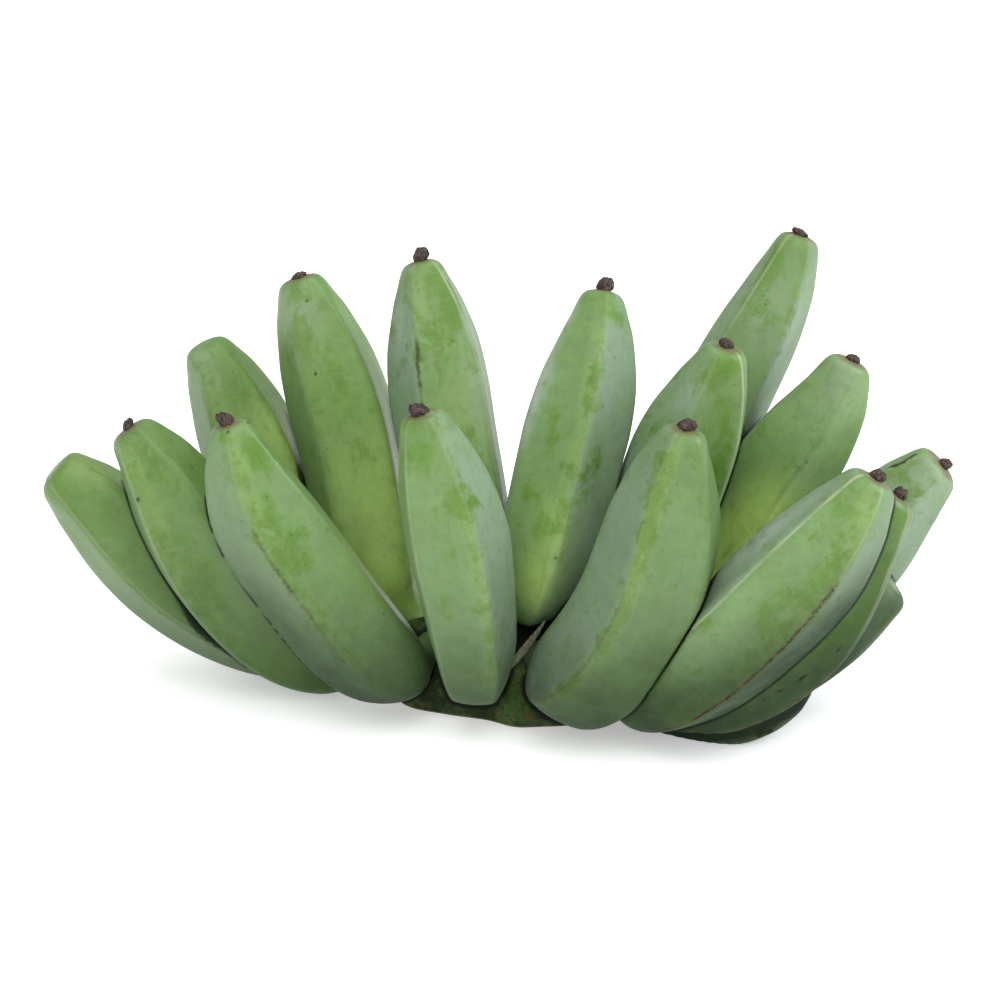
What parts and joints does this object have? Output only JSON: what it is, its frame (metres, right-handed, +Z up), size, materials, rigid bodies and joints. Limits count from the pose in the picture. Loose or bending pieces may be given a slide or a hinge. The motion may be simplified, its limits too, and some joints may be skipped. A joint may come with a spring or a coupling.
{
  "type": "hand of green cooking bananas",
  "caption": "Hand of green cooking bananas: thick angular fingers in two rows, fanned out and up from a dark cut crown that it rests on.",
  "frame": {"origin": "point near the middle of the crown's flat cut face, which rests on the table", "axes": "+Z up from the cut face, +X to the right along the hand's width as seen from the front row, +Y from the front row to the back row"},
  "size_m": [0.3691, 0.1709, 0.1893],
  "materials": {
    "banana_skin": "smooth green fruit skin with a bluish grey waxy bloom and thin brown scars",
    "dried_flower": "dry dark brown shrivelled fibre",
    "crown_rind": "dark green lumpy rind with brown scars"
  },
  "bodies": {
    "root": {"crown": "crown_rind", "finger_front_1": "banana_skin", "finger_front_2": "banana_skin", "finger_front_3": "banana_skin", "finger_front_4": "banana_skin", "finger_front_5": "banana_skin", "finger_front_6": "banana_skin", "finger_front_7": "banana_skin", "finger_front_8": "banana_skin", "finger_front_9": "banana_skin", "finger_back_1": "banana_skin", "finger_back_2": "banana_skin", "finger_back_3": "banana_skin", "finger_back_4": "banana_skin", "finger_back_5": "banana_skin", "finger_back_6": "banana_skin", "finger_back_7": "banana_skin", "finger_back_8": "banana_skin", "dried_tip_front_2": "dried_flower", "dried_tip_front_3": "dried_flower", "dried_tip_front_4": "dried_flower", "dried_tip_front_5": "dried_flower", "dried_tip_front_6": "dried_flower", "dried_tip_front_7": "dried_flower", "dried_tip_back_2": "dried_flower", "dried_tip_back_3": "dried_flower", "dried_tip_back_4": "dried_flower", "dried_tip_back_5": "dried_flower", "dried_tip_back_6": "dried_flower", "dried_tip_back_7": "dried_flower", "dried_tip_back_8": "dried_flower"}
  },
  "joints": []
}
